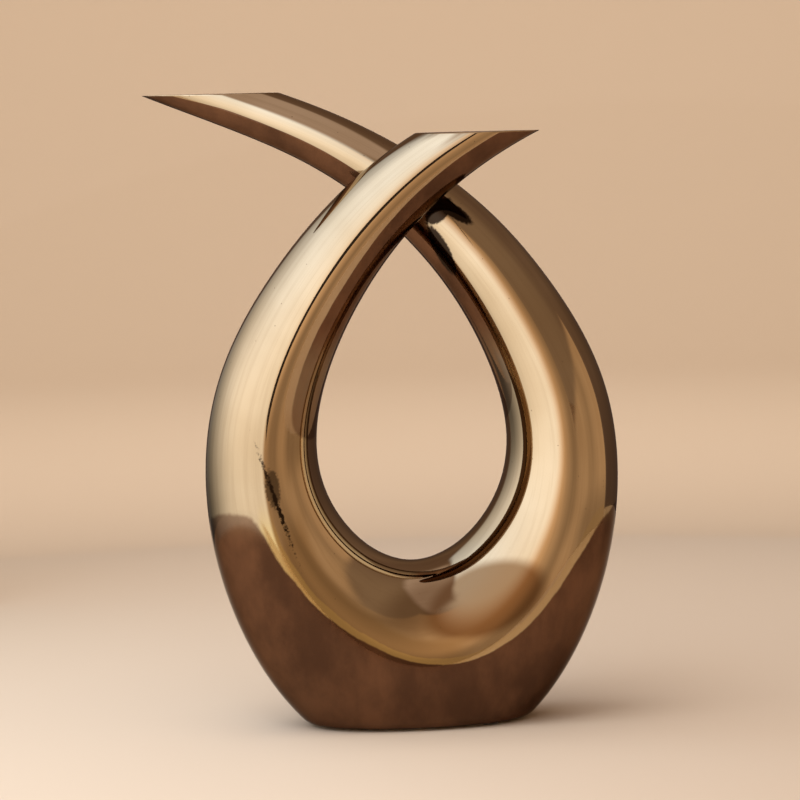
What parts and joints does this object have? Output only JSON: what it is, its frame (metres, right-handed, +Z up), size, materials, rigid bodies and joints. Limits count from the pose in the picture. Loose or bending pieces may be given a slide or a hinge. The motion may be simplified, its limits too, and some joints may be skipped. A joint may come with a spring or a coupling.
{
  "type": "ceramic loop sculpture",
  "caption": "Table-top sculpture: a thick rounded loop on a flat foot, whose arms taper, cross one in front of the other and end in flat-cut horns.",
  "frame": {"origin": "middle of the bounding box, on the floor under the felt feet", "axes": "+Z up, +X to the viewer's right, -Y towards the viewer; the front arm passes on the -Y side and the longer horn points to -X"},
  "size_m": [0.2836, 0.115, 0.381],
  "materials": {
    "bronze_glaze": "slip-cast ceramic, mirror-polished bronze plating over the glaze",
    "slip_joint": "fired slip joint, plated with the castings",
    "felt": "dark pressed felt with adhesive back"
  },
  "bodies": {
    "root": {"loop_body": "bronze_glaze", "front_arm": "bronze_glaze", "rear_arm": "bronze_glaze", "front_arm_luting": "slip_joint", "rear_arm_luting": "slip_joint", "crossing_luting": "slip_joint", "felt_foot_front_left": "felt", "felt_foot_back_left": "felt", "felt_foot_front_right": "felt", "felt_foot_back_right": "felt"}
  },
  "joints": []
}
